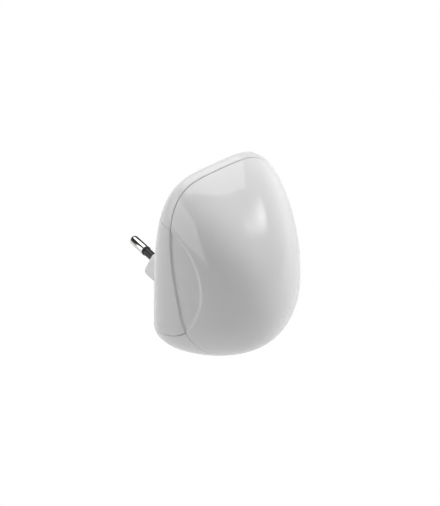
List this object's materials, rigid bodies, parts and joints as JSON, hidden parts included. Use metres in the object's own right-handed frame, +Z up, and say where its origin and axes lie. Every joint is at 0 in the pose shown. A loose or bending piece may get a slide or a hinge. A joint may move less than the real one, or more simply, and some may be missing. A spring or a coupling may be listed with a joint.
{
  "type": "ultrasonic pest repeller",
  "caption": "Smooth white egg-shaped plug-in ultrasonic pest repeller with a domed front cover and a flat back carrying a round-pin wall plug.",
  "frame": {"origin": "centre of the plug body's end face, midway between the pins, where it seats in the socket", "axes": "X to the right seen from the front, +Y out of the back along the pins towards the wall, +Z up"},
  "size_m": [0.06, 0.0874, 0.0952],
  "materials": {
    "white_housing": "gloss",
    "plated_pins": "polished",
    "black_sleeve": "satin",
    "brass_strip": "satin",
    "plate_metal": "brushed",
    "green_board": "satin",
    "steel_screws": "satin",
    "yellow_case": "satin",
    "capacitor_can": "satin",
    "blue_coating": "gloss",
    "resistor_paint": "satin",
    "black_moulding": "matt",
    "ferrite": "matt",
    "copper_wire": "enamelled",
    "black_mesh": "woven",
    "foam": "matt",
    "cone_metal": "satin",
    "red_insulation": "satin"
  },
  "bodies": {
    "root": {"front_cover": "white_housing", "rear_shell": "white_housing", "plug_module": "white_housing", "contact_pin_left": "plated_pins", "contact_pin_right": "plated_pins", "pin_sleeve_left": "black_sleeve", "pin_sleeve_right": "black_sleeve", "contact_tab_left": "brass_strip", "contact_tab_right": "brass_strip", "rating_plate": "plate_metal", "circuit_board": "green_board", "housing_screws": "steel_screws", "board_screws": "steel_screws", "module_screws": "steel_screws", "film_capacitor": "yellow_case", "electrolytic_capacitor": "capacitor_can", "varistor": "blue_coating", "fusible_resistor": "resistor_paint", "bridge_rectifier": "black_moulding", "driver_chip": "black_moulding", "transistors": "black_moulding", "resistors": "resistor_paint", "coil_core": "ferrite", "coil_winding": "copper_wire", "dust_screen": "black_mesh", "tweeter_gasket": "foam", "tweeter_housing": "black_moulding", "tweeter_cone": "cone_metal", "piezo_disc": "brass_strip", "tweeter_wires": "red_insulation"}
  },
  "joints": []
}
